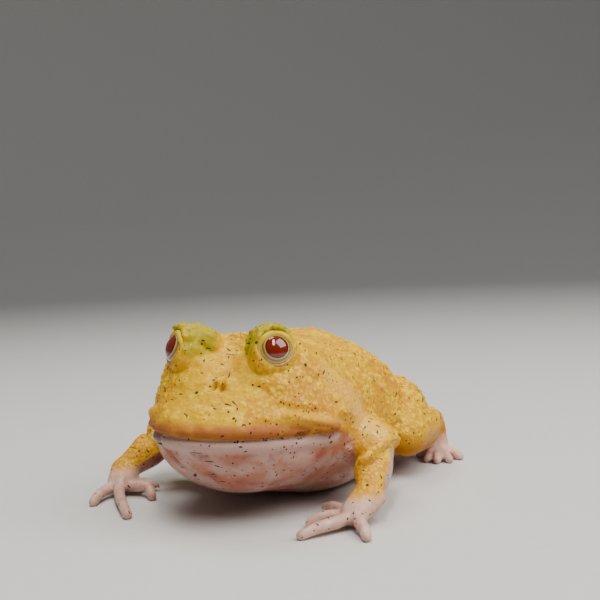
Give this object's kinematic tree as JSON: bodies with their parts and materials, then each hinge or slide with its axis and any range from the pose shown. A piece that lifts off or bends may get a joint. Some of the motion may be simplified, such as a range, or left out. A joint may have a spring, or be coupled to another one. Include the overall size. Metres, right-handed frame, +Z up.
{
  "type": "argentine horned frog",
  "caption": "Squat, wide-mouthed albino horned frog with short brow horns, sitting on its belly, hands and feet, as a still life-size display model.",
  "frame": {"origin": "middle of the bounding box's base, on the plane the frog sits on", "axes": "+Z up, -Y towards the snout, +X towards the frog's left side"},
  "size_m": [0.0864, 0.0944, 0.0484],
  "materials": {
    "skin": "moist, finely warted",
    "throat_skin": "moist, smooth",
    "horn_skin": "moist, wrinkled",
    "digit_skin": "moist, smooth",
    "eye": "wet gloss"
  },
  "bodies": {
    "root": {"head": "skin", "lower_jaw": "throat_skin", "torso": "skin", "brow_horn_left": "horn_skin", "brow_horn_right": "horn_skin", "eye_left": "eye", "eye_right": "eye", "upper_arm_left": "skin", "upper_arm_right": "skin", "forearm_left": "skin", "forearm_right": "skin", "hand_left": "digit_skin", "hand_right": "digit_skin", "thigh_left": "skin", "thigh_right": "skin", "shank_left": "skin", "shank_right": "skin", "foot_left": "digit_skin", "foot_right": "digit_skin"}
  },
  "joints": []
}
